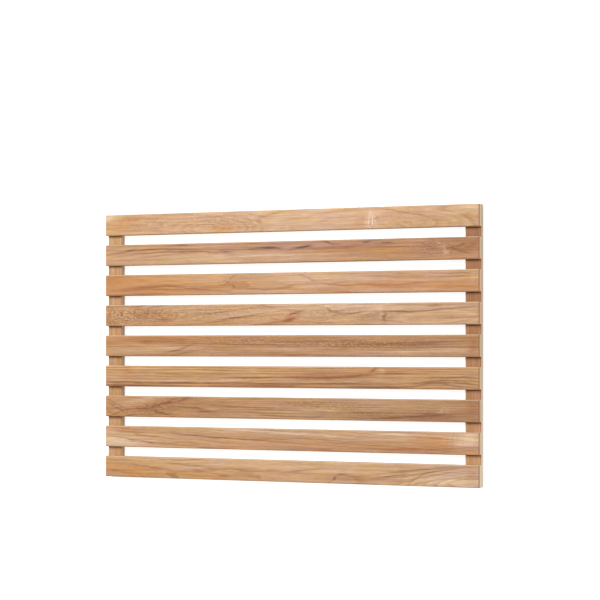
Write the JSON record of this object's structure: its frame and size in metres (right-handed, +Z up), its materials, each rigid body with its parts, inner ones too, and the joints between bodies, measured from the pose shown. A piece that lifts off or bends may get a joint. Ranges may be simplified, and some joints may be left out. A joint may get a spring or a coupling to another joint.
{
  "type": "slatted bath mat",
  "caption": "Rectangular teak bath mat of flat parallel slats with drainage gaps, screwed from below to a cross batten at each end, on small round rubber feet.",
  "frame": {"origin": "on the floor under the middle of the mat, at the bottom centre of its box", "axes": "+X along the slats, +Y across them towards slat_1, +Z up out of the walking face"},
  "size_m": [0.6, 0.4, 0.02],
  "materials": {
    "teak_slat": "planed and oiled teak, matt",
    "teak_batten": "planed and oiled teak, matt",
    "stainless": "stainless steel, satin",
    "rubber": "matt black rubber"
  },
  "bodies": {
    "root": {"slat_1": "teak_slat", "slat_2": "teak_slat", "slat_3": "teak_slat", "slat_4": "teak_slat", "slat_5": "teak_slat", "slat_6": "teak_slat", "slat_7": "teak_slat", "slat_8": "teak_slat", "slat_9": "teak_slat", "batten_left": "teak_batten", "batten_right": "teak_batten", "screw_left_1a": "stainless", "screw_left_1b": "stainless", "screw_left_2a": "stainless", "screw_left_2b": "stainless", "screw_left_3a": "stainless", "screw_left_3b": "stainless", "screw_left_4a": "stainless", "screw_left_4b": "stainless", "screw_left_5a": "stainless", "screw_left_5b": "stainless", "screw_left_6a": "stainless", "screw_left_6b": "stainless", "screw_left_7a": "stainless", "screw_left_7b": "stainless", "screw_left_8a": "stainless", "screw_left_8b": "stainless", "screw_left_9a": "stainless", "screw_left_9b": "stainless", "screw_right_1a": "stainless", "screw_right_1b": "stainless", "screw_right_2a": "stainless", "screw_right_2b": "stainless", "screw_right_3a": "stainless", "screw_right_3b": "stainless", "screw_right_4a": "stainless", "screw_right_4b": "stainless", "screw_right_5a": "stainless", "screw_right_5b": "stainless", "screw_right_6a": "stainless", "screw_right_6b": "stainless", "screw_right_7a": "stainless", "screw_right_7b": "stainless", "screw_right_8a": "stainless", "screw_right_8b": "stainless", "screw_right_9a": "stainless", "screw_right_9b": "stainless", "foot_left_far": "rubber", "foot_left_near": "rubber", "foot_right_far": "rubber", "foot_right_near": "rubber"}
  },
  "joints": []
}
